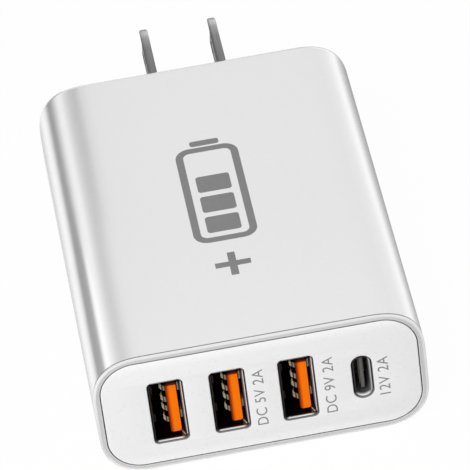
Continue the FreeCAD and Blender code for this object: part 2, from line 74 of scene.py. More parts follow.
def roundedLoop(halfWide, halfTall, corner, power=2.0, steps=12):
    # closed outline, counter-clockwise: four quarter arcs joined by straight runs
    arc = quarterArc(power, steps) * corner
    x = halfWide - corner + arc[:, 0]
    z = halfTall - corner + arc[:, 1]
    back = slice(None, None, -1)
    return np.concatenate([np.stack(p, -1) for p in (
        (x, z), (-x[back], z[back]), (-x, -z), (x[back], -z[back]))])


def gridFaces(rows, around, closed=False):
    # quads between neighbouring rings of a grid, each ring closed on itself
    i = np.arange(rows if closed else rows - 1)[:, None]
    j = np.arange(around)[None, :]
    here, over = i * around, (i + 1) % rows * around
    step = (j + 1) % around
    return np.stack([here + j, over + j, over + step, here + step], -1).reshape(-1, 4)


def fillLoops(loops):
    # triangles of a flat region with holes, all counter-clockwise
    flat = np.concatenate(loops)
    corners = np.array(tessellate_polygon([[Vector((u, v, 0)) for u, v in loop] for loop in loops]))
    a, b, c = (flat[corners[:, k]] for k in range(3))
    turned = (b[:, 0] - a[:, 0]) * (c[:, 1] - a[:, 1]) < (b[:, 1] - a[:, 1]) * (c[:, 0] - a[:, 0])
    corners[turned] = corners[turned][:, ::-1]
    return corners


def ringAt(loop, middle, y):
    # an (x, z) outline moved to its middle and set at one y
    return np.stack([loop[:, 0] + middle[0], np.full(len(loop), y), loop[:, 1] + middle[2]], -1)


def loft(rings, closed=False):
    # a run of rings skinned together, with flat ends unless the run closes on itself
    rows, around = rings.shape[:2]
    faces = gridFaces(rows, around, closed).tolist()
    if not closed:
        faces += [list(range(around)), list(range(rows * around - 1, (rows - 1) * around - 1, -1))]
    return rings.reshape(-1, 3), faces, [0] * len(faces)


def inward(loop):
    # unit normals on the left of a closed outline
    run = np.roll(loop, -1, 0) - np.roll(loop, 1, 0)
    run /= np.linalg.norm(run, axis=1)[:, None]
    return np.stack([-run[:, 1], run[:, 0]], -1)


def edgeProfile(thick, edge, steps=5):
    # (inset, depth) down the side of a plate: quarter round, straight wall, quarter round
    a = np.linspace(0.0, math.pi / 2, steps)
    top = np.stack([edge * (1 - np.sin(a)), edge * (1 - np.cos(a))], -1)
    low = np.stack([top[::-1, 0], thick - top[::-1, 1]], -1)
    return np.concatenate([top, low])


def plate(loops, thick, edge, plainStrips=2):
    # flat plate with holes and rounded edges: outer outline counter-clockwise, holes clockwise, each carried
    # down the edge profile along its inward normals; below its first plain strips the edge gets mark 1
    profile = edgeProfile(thick, edge)
    rows = len(profile)
    points, faces, marks, starts = [], [], [], []
    base = 0
    for loop in loops:
        shifted = loop[None] + profile[:, None, :1] * inward(loop)[None]
        depth = np.broadcast_to(profile[:, None, 1:], shifted.shape[:2] + (1,))
        points.append(np.concatenate([shifted, depth], -1))
        faces += (gridFaces(rows, len(loop)) + base).tolist()
        # mark 1 is the painted-shade material on the edge's walls, where a piece has one
        marks += np.repeat(np.arange(rows - 1) >= plainStrips, len(loop)).astype(int).tolist()
        starts.append(base)
        base += rows * len(loop)
    for row in (0, rows - 1):
        ends = [ring[row, :, :2] for ring in points]
        index = np.concatenate([s + row * len(e) + np.arange(len(e)) for s, e in zip(starts, ends)])
        corners = index[fillLoops(ends)]
        faces += (corners if row == 0 else corners[:, ::-1]).tolist()
        marks += [0] * len(corners)
    return np.concatenate([ring.reshape(-1, 3) for ring in points]), faces, marks


def joined(*solids):
    # several closed surfaces as one
    points, faces, marks, base = [], [], [], 0
    for p, f, m in solids:
        points.append(p)
        faces += [[i + base for i in face] for face in f]
        marks += m
        base += len(p)
    return np.concatenate(points), faces, marks


def addPiece(name, solid, materials, replaced=(), sharp=32.0):
    # smooth mesh of a solid, with edges sharper than the angle kept crisp
    points, faces, marks = solid
    mesh = bpy.data.meshes.new(name)
    mesh.from_pydata((points * mm).tolist(), [], faces)
    for material in materials:
        mesh.materials.append(material)
    mesh.polygons.foreach_set("material_index", np.array(marks, dtype=np.int32))
    mesh.shade_smooth()
    mesh.set_sharp_from_angle(angle=math.radians(sharp))
    mesh.update()
    piece = bpy.data.objects.new(name, mesh)
    bpy.context.scene.collection.objects.link(piece)
    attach(piece, "root")
    if replaced:
        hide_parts(*replaced)


# shader building blocks

grain = {
    "detail": 4.0,
    "band": (0.3, 0.7),      # stretch of the noise over which colour and roughness change
    "roughness": 0.12,       # share by which the roughness varies
    "depth": 0.02,           # height of the relief
}


def newMaterial(name, colour, roughness, metallic, **sockets):
    # principled material with plain socket values; an underscore in a keyword stands for a space
    made = bpy.data.materials.new(name)
    made.use_nodes = True
    shader = made.node_tree.nodes["Principled BSDF"]
    shader.inputs["Base Color"].default_value = (*colour, 1.0)
    shader.inputs["Roughness"].default_value = roughness
    shader.inputs["Metallic"].default_value = metallic
    for key, value in sockets.items():
        shader.inputs[key.replace("_", " ")].default_value = value
    return made, made.node_tree, shader


def addNode(tree, kind, **values):
    # new node with values set on its inputs
    node = tree.nodes.new(kind)
    for key, value in values.items():
        node.inputs[key].default_value = value
    return node


def noiseOn(tree, scale, stretch):
    # noise on Object coordinates, stretched by a Mapping node
    place = tree.nodes.new("ShaderNodeTexCoord")
    turn = addNode(tree, "ShaderNodeMapping", Scale=stretch)
    noise = addNode(tree, "ShaderNodeTexNoise", Scale=scale, Detail=grain["detail"])
    tree.links.new(place.outputs["Object"], turn.inputs["Vector"])
    tree.links.new(turn.outputs["Vector"], noise.inputs["Vector"])
    return noise.outputs["Fac"]


def alongAxis(tree, axis, start, end, least=0.0):
    # least to 1 between two places on one Object axis, given in millimetres
    place = tree.nodes.new("ShaderNodeTexCoord")
    split = tree.nodes.new("ShaderNodeSeparateXYZ")
    span = tree.nodes.new("ShaderNodeMapRange")
    span.inputs["From Min"].default_value = start * mm
    span.inputs["From Max"].default_value = end * mm
    span.inputs["To Min"].default_value = least
    tree.links.new(place.outputs["Object"], split.inputs[0])
    tree.links.new(split.outputs[axis], span.inputs["Value"])
    return span.outputs["Result"]


def ramp(tree, source, stops):
    # a factor carried to grey levels or colours through (position, colour) stops
    node = tree.nodes.new("ShaderNodeValToRGB")
    elements = node.color_ramp.elements
    while len(elements) < len(stops):
        elements.new(0.5)
    for element, (position, colour) in zip(elements, stops):
        element.position = position
        element.color = (*np.broadcast_to(colour, 3), 1.0)
    tree.links.new(source, node.inputs["Fac"])
    return node.outputs["Color"]


def feed(tree, source, socket):
    # an output is linked to the socket, a plain value is set on it
    if isinstance(source, bpy.types.NodeSocket):
        tree.links.new(source, socket)
    else:
        socket.default_value = source


def mixed(tree, factor, first, second, blend="MIX"):
    # two colours mixed by a factor
    node = tree.nodes.new("ShaderNodeMix")
    node.data_type = "RGBA"
    node.blend_type = blend
    for source, key in ((factor, "Factor"), (first, "A"), (second, "B")):
        feed(tree, source, node.inputs[key])
    return node.outputs["Result"]


def product(tree, first, second):
    # two colours multiplied
    return mixed(tree, 1.0, first, second, "MULTIPLY")


def textured(name, colour, spread, roughness, scale, bump, metallic=0.0, stretch=(1.0, 1.0, 1.0), shade=None,
             **sockets):
    # colour and roughness vary a little with noise, with a fine relief of the same grain;
    # shade, if given, adds a colour that multiplies the base
    made, tree, shader = newMaterial(name, colour, roughness, metallic, **sockets)
    noise = noiseOn(tree, scale, stretch)
    start, end = grain["band"]
    low = [c * (1 - spread) for c in colour]
    high = [min(1.0, c * (1 + spread)) for c in colour]
    base = ramp(tree, noise, ((start, low), (end, high)))
    if shade:
        base = product(tree, base, shade(tree))
    tree.links.new(base, shader.inputs["Base Color"])
    smooth, rough = (roughness * (1 + sign * grain["roughness"]) for sign in (-1, 1))
    tree.links.new(ramp(tree, noise, ((start, smooth), (end, rough))), shader.inputs["Roughness"])
    relief = addNode(tree, "ShaderNodeBump", Strength=bump, Distance=grain["depth"] * mm)
    tree.links.new(noise, relief.inputs["Height"])
    tree.links.new(relief.outputs["Normal"], shader.inputs["Normal"])
    return made


# housing skin

housing = {
    "softCorner": 10.0,      # reach of the softened corner from the sides
    "power": 2.79,           # keeps the corner's diagonal where a 7.5 mm radius has it
    "endRound": 2.7,         # leaves the blade slots inside the wall end's flat
    "rim": 1.2,              # width of the rim round the front cover
    "rimCorner": 6.3,        # plain corner radius beside the cover
    "rimReach": 1.0,         # depth over which the corner changes from the cover's to the shell's
    # inset and depth from the joint beside the cover, over the rim, to the outside
    "rimProfile": ((1.2, 0.14), (1.16, 0.05), (1.08, 0.0), (0.62, 0.0), (0.54, 0.01), (0.12, 0.14),
                   (0.05, 0.17), (0.0, 0.22), (0.15, 0.25), (0.16, 0.43), (0.01, 0.46), (0.0, 0.50)),
    "jointRows": (1, 2, 3, 10, 11, 12),    # profile rows in the joint and in the fine groove at the crease, which take the painted shade
    "paintedRimTone": 0.74,         # painted shade greys the rim's inner band below the shell's tone
    "paintedRimToneDepth": (0.0, 0.06),
    "pocketDepth": 1.8,
    "wall": 2.0,
    "wallEnd": 2.2,
    "slotClearance": 0.05,
    "cornerSteps": 40,
    "roundSteps": 13,
}


def pearlShell(spec):
    # pale pearl gloss, with painted shade greying the band beside the cover
    def paintedRimShade(tree):
        # painted shade by the depth behind the front
        start, end = (frontY + d for d in spec["paintedRimToneDepth"])
        return ramp(tree, alongAxis(tree, 1, start, end), ((0.0, spec["paintedRimTone"]), (1.0, 1.0)))
    return textured("pearl_shell", (0.80, 0.80, 0.80), spread=0.006, roughness=0.16, scale=900, bump=0.02,
                    metallic=0.5, shade=paintedRimShade, Coat_Weight=0.3, Coat_Roughness=0.06)


def jointPaintedShade():
    # painted shade: dull grey for the joint, the fine groove and the walls of openings, where shade falls
    return textured("joint_painted_shade", (0.25, 0.25, 0.25), spread=0.05, roughness=0.6, scale=900, bump=0.02)


def bladeSlot(node, clearance):
    # clockwise outline of the opening that a blade passes through
    low, high = boxOf(node)
    half = (high - low)[[0, 2]] / 2 + clearance
    return (np.array([(1, 1), (1, -1), (-1, -1), (-1, 1)]) * half) + (low + high)[[0, 2]] / 2


def housingSolid(spec):
    # (inset, y) profile from the cavity's end, round the rim and along the outside to the wall end,
    # with the blade slots through both ends
    centre = (housingLow + housingHigh) / 2
    half = (housingHigh - housingLow) / 2
    pocketY = frontY + spec["pocketDepth"]
    innerY = wallY - spec["wallEnd"]
    a = np.linspace(0.0, math.pi / 2, spec["roundSteps"])
    r = spec["endRound"]
    profile = np.concatenate([
        [(spec["wall"], innerY), (spec["wall"], pocketY), (spec["rim"], pocketY)],
        np.array(spec["rimProfile"]) + (0.0, frontY),
        [(0.0, (frontY + wallY) / 2)],
        np.stack([r * (1 - np.cos(a)), wallY - r + r * np.sin(a)], -1)])
    rings = []
    for inset, y in profile:
        corner, power = spec["softCorner"] - inset, spec["power"]
        if y < frontY + spec["rimReach"]:
            share = min(inset / spec["rim"], 1.0)
            corner += share * (spec["rimCorner"] - spec["softCorner"] + spec["rim"])
            power += share * (2.0 - power)
        loop = roundedLoop(half[0] - inset, half[2] - inset, corner, power, spec["cornerSteps"])
        rings.append(ringAt(loop, centre, y))
    rings = np.array(rings)
    rows, around = rings.shape[:2]
    slots = [bladeSlot("blade_" + side, spec["slotClearance"]) for side in ("left", "right")]
    points = [rings.reshape(-1, 3)]
    faces = gridFaces(rows, around).tolist()
    rowMarks = np.zeros(rows - 1, int)
    rowMarks[list(spec["jointRows"])] = 1
    marks = np.repeat(rowMarks, around).tolist()
    for end, y in ((0, innerY), (rows - 1, wallY)):
        base = sum(len(p) for p in points)
        index = np.concatenate([end * around + np.arange(around), base + np.arange(4 * len(slots))])
        corners = index[fillLoops([rings[end][:, [0, 2]]] + slots)]
        faces += (corners if end == 0 else corners[:, ::-1]).tolist()
        marks += [0] * len(corners)
        flat = np.concatenate(slots)
        points.append(np.stack([flat[:, 0], np.full(len(flat), y), flat[:, 1]], -1))
    near, far = len(points[0]), len(points[0]) + 4 * len(slots)
    for k in range(len(slots)):
        j = 4 * k + np.arange(4)
        step = 4 * k + (np.arange(4) + 1) % 4
        faces += np.stack([near + j, far + j, far + step, near + step], -1).tolist()
        # the slot walls take the painted shade
        marks += [1] * 4
    return np.concatenate(points), faces, marks


shellFinish, paintedShadeFinish = pearlShell(housing), jointPaintedShade()
addPiece("housing_skin", housingSolid(housing), [shellFinish, paintedShadeFinish], ["housing"])
print("housing skin made")


# front cover

cover = {
    "corner": 6.15,
    "edge": 0.2,
    "holeClearance": 0.2,
    "holeCorner": 0.9,
    "holeSteps": 12,
    "highlightReach": 2.0,        # width of the painted highlight along the border
    "endsOut": (1.5, 0.0, 0.0),    # moves the border outwards at the two ends, where it is narrow
    "highlightTones": ((0.0, 0.90), (0.5, 0.945), (1.0, 1.0)),    # painted highlight, from the border's inside to the plate's edge
    "skirtInset": 0.78,      # from the plate's edge to the skirt's outside
    "skirtWall": 1.2,
    "plateThick": 1.8,
    "cornerSteps": 28,
}


def panelSatin(spec):
    # satin white with a painted highlight along the two long edges: distance from a rounded rectangle's
    # outline
    low, high = boxOf("front_cover")
    half, middle, corner = (high - low) / 2, (low + high) / 2, spec["corner"]

    def paintedEdgeHighlight(tree):
        # how far a place lies past the rectangle of the corners' centres, as a painted highlight
        place = tree.nodes.new("ShaderNodeTexCoord")
        last = place.outputs["Object"]
        for kind, second in (("SUBTRACT", middle * mm), ("ABSOLUTE", None),
                             ("SUBTRACT", (half - corner + spec["endsOut"]) * mm), ("MAXIMUM", np.zeros(3)),
                             ("MULTIPLY", np.array([1.0, 0.0, 1.0])), ("LENGTH", None)):
            step = tree.nodes.new("ShaderNodeVectorMath")
            step.operation = kind
            tree.links.new(last, step.inputs[0])
            if second is not None:
                step.inputs[1].default_value = tuple(second)
            last = step.outputs["Value" if kind == "LENGTH" else "Vector"]
        span = tree.nodes.new("ShaderNodeMapRange")
        span.inputs["From Min"].default_value = (corner - spec["highlightReach"]) * mm
        span.inputs["From Max"].default_value = corner * mm
        tree.links.new(last, span.inputs["Value"])
        return ramp(tree, span.outputs["Result"], spec["highlightTones"])
    return textured("panel_satin", (0.93, 0.93, 0.93), spread=0.002, roughness=0.3, scale=1600, bump=0.004,
                    shade=paintedEdgeHighlight)


def portLoop(node, corner, spec):
    # clockwise outline of a socket's opening in the cover, with ends that are half circles at most
    low, high = boxOf(node)
    half = (high - low) / 2 + spec["holeClearance"]
    middle = (low + high) / 2
    loop = roundedLoop(half[0], half[2], min(corner, half[0]), steps=spec["holeSteps"])
    return (loop + middle[[0, 2]])[::-1]


def coverSolid(spec):
    # plate with the four openings, and a skirt that runs back inside the housing
    low, high = boxOf("front_cover")
    half, middle = (high - low) / 2, (low + high) / 2
    outer = roundedLoop(half[0], half[2], spec["corner"], steps=spec["cornerSteps"])
    loops = [outer + middle[[0, 2]]]
    loops += [portLoop("usb_a_shell_%d" % i, spec["holeCorner"], spec) for i in usbAPorts]
    loops.append(portLoop("usb_c_shell", math.inf, spec))
    points, faces, marks = plate(loops, spec["plateThick"], spec["edge"])
    face = np.stack([points[:, 0], low[1] + points[:, 2], points[:, 1]], -1)
    start, end = low[1] + spec["plateThick"], high[1]
    skirt = []
    for inset, y in ((0, start), (0, end), (spec["skirtWall"], end), (spec["skirtWall"], start)):
        d = spec["skirtInset"] + inset
        loop = roundedLoop(half[0] - d, half[2] - d, spec["corner"] - d, steps=spec["cornerSteps"])
        skirt.append(ringAt(loop, middle, y))
    return joined((face, faces, marks), loft(np.array(skirt), closed=True))


addPiece("front_panel", coverSolid(cover), [panelSatin(cover), paintedShadeFinish], ["front_cover"])
print("front panel made")


# plug blades

blade = {
    "noseLength": 4.0,
    "noseFlat": 2.4,
    "taperLength": 2.0,
    "tipThick": 0.8,
    "holeRadius": 1.6,
    "edge": 0.22,
    "noseSteps": 14,
    "holeSteps": 40,
    # painted shade and highlight from the housing to the tip
    "tone": ((0.0, 0.22), (0.3, 0.24), (0.55, 0.27), (0.72, 0.4), (0.9, 0.95), (0.97, 1.0), (1.0, 0.25)),
}


def bladeNickel(spec):
    # plated metal with fine streaks along the blade, with painted shade near the housing and a painted
    # highlight towards the tip
    tipY = boxOf("blade_left")[1][1]

    def paintedBladeLight(tree):
        # painted shade and highlight by the share of the way from the housing to the tip
        return ramp(tree, alongAxis(tree, 1, wallY, tipY), spec["tone"])
    return textured("blade_nickel", (0.95, 0.95, 0.95), spread=0.22, roughness=0.24, scale=900, bump=0.25,
                    metallic=1.0, stretch=(3.0, 0.12, 1.0), shade=paintedBladeLight, Specular_Tint=(0.25, 0.25, 0.25, 1.0))


def bladeSolid(node, spec):
    # side outline with an arched nose and a round hole, thinned towards the tip
    low, high = boxOf(node)
    middle, half = (low + high) / 2, (high - low) / 2
    drop = half[2] - spec["noseFlat"] / 2
    bend = (spec["noseLength"] ** 2 + drop ** 2) / (2 * drop)
    run = np.linspace(0.0, 1.0, spec["noseSteps"]) * spec["noseLength"]
    fall = half[2] - (bend - np.sqrt(bend ** 2 - run ** 2))
    y = np.concatenate([[low[1]], high[1] - spec["noseLength"] + run])
    z = np.concatenate([[half[2]], fall])
    outer = np.concatenate([np.stack([y, -z], -1), np.stack([y, z], -1)[::-1]])
    a = np.linspace(0.0, 2 * math.pi, spec["holeSteps"], endpoint=False)
    mount = next(m for m in frame["record"]["mounts"] if m["name"] == "blade_holes")
    holeY = mount["pos_m"][1] / mm
    hole = np.stack([holeY + spec["holeRadius"] * np.cos(-a), spec["holeRadius"] * np.sin(-a)], -1)
    points, faces, marks = plate([outer, hole], 2 * half[0], spec["edge"])
    share = ((points[:, 0] - (high[1] - spec["taperLength"])) / spec["taperLength"]).clip(0, 1)
    thin = 1 - share * (1 - spec["tipThick"] / (2 * half[0]))
    x = middle[0] + (half[0] - points[:, 2]) * thin
    return np.stack([x, points[:, 0], middle[2] + points[:, 1]], -1), faces, [0] * len(marks)


nickelFinish = bladeNickel(blade)
for side in ("left", "right"):
    addPiece("plug_blade_" + side, bladeSolid("blade_" + side, blade), [nickelFinish],
             ["blade_" + side])
print("plug blades made")


# USB-C socket: tube with a round lip, tongue on its block

plainRun = ((0.0, 1.0), (1.0, 1.0))    # no change of tone along a lip

usbC = {
    "sheet": 0.3,
    "lipSteps": 7,
    "cornerSteps": 16,
    "tongueWide": 0.7,
    "tongueTall": 6.69,
    "tongueLength": 4.8,
    "tongueEdge": 0.17,
    "rightLipHighlight": ((0.0, 0.03), (0.85, 0.03), (0.9, 0.45), (1.0, 0.45)),  # painted highlight on the lip, left to right
    "rightRun": plainRun,
    "lowLipHighlight": ((0.0, 0.85), (0.05, 0.85), (0.13, 0.03), (1.0, 0.03)),   # painted highlight on the low lip, from low to high
    "lowRun": plainRun,
    # painted shade inside, lighter towards the right
    "insideShade": ((0.0, 0.11), (0.8, 0.11), (1.0, 0.42)),
    "insideRun": plainRun,
    "lip": (0.2, 0.6),       # depth where the painted lip highlight ends and where the painted shade is full
    "metallic": 0.3,
}


def tubeSolid(node, spec):
    # outline carried from inside out to the mouth, over a half-round lip and back along the outside
    low, high = boxOf(node)
    half, middle, sheet = (high - low) / 2, (low + high) / 2, spec["sheet"]
    a = np.linspace(0.0, math.pi, spec["lipSteps"])
    lip = np.stack([sheet / 2 * (1 + np.cos(a)), low[1] + sheet / 2 * (1 - np.sin(a))], -1)
    profile = np.concatenate([[(sheet, high[1])], lip, [(0.0, high[1])]])
    rings = []
    for inset, y in profile:
        loop = roundedLoop(half[0] - inset, half[2] - inset, half[0] - inset, steps=spec["cornerSteps"])
        rings.append(ringAt(loop, middle, y))
    return loft(np.array(rings), closed=True)


def barSolid(middle, halfWide, halfTall, corner, y0, y1, edge, steps=5, cornerSteps=8, leastCorner=0.01):
    # rounded outline carried along Y from a front end with a quarter-round edge
    a = np.linspace(0.0, math.pi / 2, steps)
    front = np.stack([edge * (1 - np.sin(a)), y0 + edge * (1 - np.cos(a))], -1)
    rings = []
    for inset, y in np.concatenate([front, [(0.0, y1)]]):
        tight = max(corner - inset, leastCorner)
        loop = roundedLoop(halfWide - inset, halfTall - inset, tight, steps=cornerSteps)
        rings.append(ringAt(loop, middle, y))
    return loft(np.array(rings))


def usbCTongueSolid(spec):
    # thin tongue bar in front of a block that fills the tube
    low, high = boxOf("usb_c_tongue")
    half, middle = (high - low) / 2, (low + high) / 2
    blockY = low[1] + spec["tongueLength"]
    tongue = barSolid(middle, spec["tongueWide"] / 2, spec["tongueTall"] / 2, spec["tongueEdge"],
                      low[1], blockY, spec["tongueEdge"])
    return joined(tongue, barSolid(middle, half[0], half[2], half[0], blockY, high[1], spec["tongueEdge"]))


def socketSteel(name, node, spec):
    # plating with a painted highlight along the low and the right-hand lip, painted shade on the other two
    # sides and darker painted shade further in
    low, high = boxOf(node)
    lipEnd, darkY = (low[1] + depth for depth in spec["lip"])

    def tone(tree):
        # the lighter of the two lips' painted highlights, fading into the painted shade inside with depth
        across, upward = (alongAxis(tree, axis, low[axis], high[axis]) for axis in (0, 2))
        right = product(tree, ramp(tree, across, spec["rightLipHighlight"]), ramp(tree, upward, spec["rightRun"]))
        lower = product(tree, ramp(tree, upward, spec["lowLipHighlight"]), ramp(tree, across, spec["lowRun"]))
        lip = mixed(tree, 1.0, right, lower, "LIGHTEN")
        dark = product(tree, ramp(tree, across, spec["insideShade"]), ramp(tree, upward, spec["insideRun"]))
        return mixed(tree, alongAxis(tree, 1, lipEnd, darkY), lip, dark)
    return textured(name, (1.0, 1.0, 1.0), spread=0.03, roughness=0.42, scale=700, bump=0.03,
                    metallic=spec["metallic"], stretch=(1.0, 0.3, 1.0), shade=tone, Specular_IOR_Level=0.2)


addPiece("usb_c_tube", tubeSolid("usb_c_shell", usbC),
         [socketSteel("usb_c_steel", "usb_c_shell", usbC)], ["usb_c_shell"])
insertFinish = textured("usb_c_plastic", (0.09, 0.09, 0.09), spread=0.06, roughness=0.4, scale=900, bump=0.05)
addPiece("usb_c_insert", usbCTongueSolid(usbC), [insertFinish], ["usb_c_tongue"])
print("USB-C socket made")


# print: a plain battery sign on the large face, plain ratings beside the sockets

pictogram = {
    "centre": (-0.6, -8.5),
    "halfWide": 5.6,
    "halfLong": 13.5,
    "line": 1.35,
    "corner": 2.6,
    "nub": (2.6, 1.5),       # half width and length of the terminal
    "nubGap": 0.45,
    "nubCorner": 0.5,
    "bars": 4,
    "filled": 3,
    "gap": 1.25,
    "barCorner": 0.6,
    "cornerSteps": (10, 5, 6),     # of the outline, the terminal and the bars
    "plusReach": 3.1,
    "plusAway": 6.6,         # from the battery's near end to the plus sign's middle
    "thick": 0.03,
    "edge": 0.008,
    "sunk": 0.012,
}


def printInk():
    # plain grey ink with a faint grain
    return textured("print_grey", (0.215, 0.215, 0.218), spread=0.05, roughness=0.5, scale=1500, bump=0.03)


def plusLoop(x, y, reach, line):
    # outline of a plus sign: one arm's three corners turned through four quarter turns
    h = line / 2
    arm = np.array([(reach, -h), (reach, h), (h, h)])
    quarter = np.array([(0, 1), (-1, 0)])
    return np.concatenate([arm @ np.linalg.matrix_power(quarter, k) for k in range(4)]) + (x, y)


def pictogramSolid(spec):
    # battery outline, level bars and plus sign as thin plates on the top face
    cx, cy = spec["centre"]
    w, l, t = spec["halfWide"], spec["halfLong"], spec["line"]
    frameSteps, nubSteps, barSteps = spec["cornerSteps"]
    frameOuter = roundedLoop(w, l, spec["corner"], steps=frameSteps) + (cx, cy)
    frameInner = (roundedLoop(w - t, l - t, spec["corner"] - t, steps=frameSteps) + (cx, cy))[::-1]
    nubWide, nubLong = spec["nub"]
    nub = roundedLoop(nubWide, nubLong / 2, spec["nubCorner"], steps=nubSteps)
    shapes = [[frameOuter, frameInner], [nub + (cx, cy + l + nubLong / 2 + spec["nubGap"])]]
    inner = l - t - spec["gap"]
    pitch = (2 * inner + spec["gap"]) / spec["bars"]
    for k in range(spec["filled"]):
        y0 = cy - inner + k * pitch
        half = (pitch - spec["gap"]) / 2
        bar = roundedLoop(w - t - spec["gap"], half, spec["barCorner"], steps=barSteps)
        shapes.append([bar + (cx, y0 + half)])
    shapes.append([plusLoop(cx, cy - l - spec["plusAway"], spec["plusReach"], t)])
    solids = [plate(loops, spec["thick"], spec["edge"]) for loops in shapes]
    points, faces, marks = joined(*solids)
    height = topZ + spec["thick"] - spec["sunk"]
    return np.stack([points[:, 0], points[:, 1], height - points[:, 2]], -1), faces, [0] * len(marks)


ratings = {
    # text, middle x and z
    "lines": (("DC 5V 2A", -0.35, 11.6), ("DC 9V 2A", 11.65, 11.6), ("12V 2A", 21.0, 11.4)),
    "height": 1.85,
    "capitalShare": 0.69,    # height of a capital as a share of the font's size
    "mergeDigits": 4,        # points that agree to so many digits are one
    "spread": 1.1,
    "thick": 0.02,
}


def ratingSolid(text, x, z, spec):
    # outlines of plain letters with their doubles merged, turned to read upwards, laid on the cover
    curve = bpy.data.curves.new("rating", "FONT")
    curve.body = text
    curve.size = spec["height"] / spec["capitalShare"]
    curve.space_character = spec["spread"]
    curve.align_x, curve.align_y = "CENTER", "CENTER"
    curve.extrude = spec["thick"] / 2
    holder = bpy.data.objects.new("rating", curve)
    bpy.context.scene.collection.objects.link(holder)
    shape = bpy.data.meshes.new_from_object(holder.evaluated_get(bpy.context.evaluated_depsgraph_get()))
    points = np.empty(len(shape.vertices) * 3)
    shape.vertices.foreach_get("co", points)
    merged, index = np.unique(points.reshape(-1, 3).round(spec["mergeDigits"]), axis=0,
                              return_inverse=True)
    u, v, w = merged.T
    faces = [index.ravel()[list(p.vertices)].tolist() for p in shape.polygons]
    bpy.data.objects.remove(holder)
    bpy.data.curves.remove(curve)
    bpy.data.meshes.remove(shape)
    return np.stack([x - v, frontY - w, z + u], -1), faces, [0] * len(faces)


inkFinish = printInk()
addPiece("battery_sign", pictogramSolid(pictogram), [inkFinish])
addPiece("port_ratings", joined(*(ratingSolid(*line, ratings) for line in ratings["lines"])), [inkFinish])
print("print made")


# finishes of the nodes that stay as they are

usbA = {
    # painted highlights on the lips and painted shade inside the sockets
    "rightLipHighlight": ((0.0, 0.02), (0.92, 0.02), (0.945, 0.95), (0.98, 0.95), (0.995, 0.2)),
    "rightRun": ((0.0, 0.1), (0.04, 0.12), (0.07, 1.0), (0.94, 1.0), (0.98, 0.3)),
    "lowLipHighlight": ((0.0, 0.3), (0.006, 0.95), (0.03, 0.95), (0.045, 0.02), (0.955, 0.02), (0.975, 0.34)),
    "lowRun": ((0.0, 0.1), (0.06, 0.1), (0.12, 1.0), (0.8, 1.0), (0.9, 0.15)),
    "insideShade": ((0.0, (0.02, 0.008, 0.005)), (0.8, (0.02, 0.008, 0.005)), (0.85, (0.85, 0.75, 0.6)),
               (0.9, (0.85, 0.75, 0.6)), (0.94, (0.15, 0.16, 0.175))),    # painted shade inside, warm as a painted reflection of the tongue, with a painted highlight on the spring fingers
    # painted shade at the low and the high end inside, reddish low down as a painted reflection of the tongue
    "insideRun": ((0.0, (0.14, 0.06, 0.05)), (0.1, (0.14, 0.06, 0.05)), (0.13, 1.0), (0.9, 1.0),
                  (0.93, 0.1)),
    "lip": (0.1, 0.28),
    "metallic": 0.2,
    "orange": (1.0, 0.185, 0.0),
    "orangeDepth": 3.2,
    "orangeFall": ((0.0, 1.0), (0.1, 0.8), (0.25, 0.35), (1.0, (0.05, 0.012, 0.004))),   # painted shade, front to back
    "tongueTall": 11.1,
    "tongueRight": 2.5,      # from the block's right-hand side to the tongue's left-hand face
    "flank": 0.75,           # width of the painted shade on the tongue's side
    "flankTone": ((0.0, (0.16, 0.06, 0.05)), (0.3, (0.36, 0.2, 0.18)), (0.6, (0.72, 0.56, 0.54)), (1.0, 1.0)),
    "shadow": 0.95,          # height of the painted shadow under the shell's upper wall
    "shadowTone": ((0.0, 1.0), (0.2, (0.3, 0.08, 0.08)), (0.6, 0.02)),
    "gold": (1.0, 0.86, 0.60),
    "springWide": 0.84,      # width of the painted highlight on the springs' noses, with two streaks
    "springTone": ((0.0, 1.0), (0.36, 1.0), (0.46, 0.06), (0.6, 0.06), (0.7, 0.4), (0.9, 0.4), (1.0, 0.06)),
    "springDepth": 2.4,
    "springFall": ((0.0, 1.0), (0.45, 1.0), (0.7, 0.25), (1.0, 0.08)),
    "corner": 0.7,
    "sheet": 0.3,
    "seam": 0.16,            # thickness of the pale bar that paints the highlight on the edge in the low right-hand corner
    "highlightBarDepth": (0.35, 2.5),
    "highlightBarTurn": (-0.8, -0.08),     # how far the edge runs to the left and down on its way in
    "seamSeat": 0.6,         # shares of half its thickness: off the shell, corner and front edge
    "highlightBarCorner": 0.9,
    "highlightBarEdge": 0.5,
}


def tongueOrange(node, spec):
    # bright on the tongue's front, with painted shade falling into the dark of the socket, a painted shadow
    # at its upper end and painted shade on one side
    low, high = boxOf(node)
    faceX = high[0] - spec["tongueRight"]      # the block behind the tongue is wider than the tongue
    tongueTop = (low[2] + high[2] + spec["tongueTall"]) / 2

    def fall(tree):
        # painted shade by depth, painted shadow by height and painted shade across, multiplied
        depth = ramp(tree, alongAxis(tree, 1, low[1], low[1] + spec["orangeDepth"]), spec["orangeFall"])
        upper = ramp(tree, alongAxis(tree, 2, tongueTop - spec["shadow"], tongueTop), spec["shadowTone"])
        flank = ramp(tree, alongAxis(tree, 0, faceX, faceX + spec["flank"]), spec["flankTone"])
        return product(tree, product(tree, depth, upper), flank)
    return textured(node + "_orange", spec["orange"], spread=0.02, roughness=0.5, scale=800, bump=0.03,
                    shade=fall, Specular_IOR_Level=0.04)


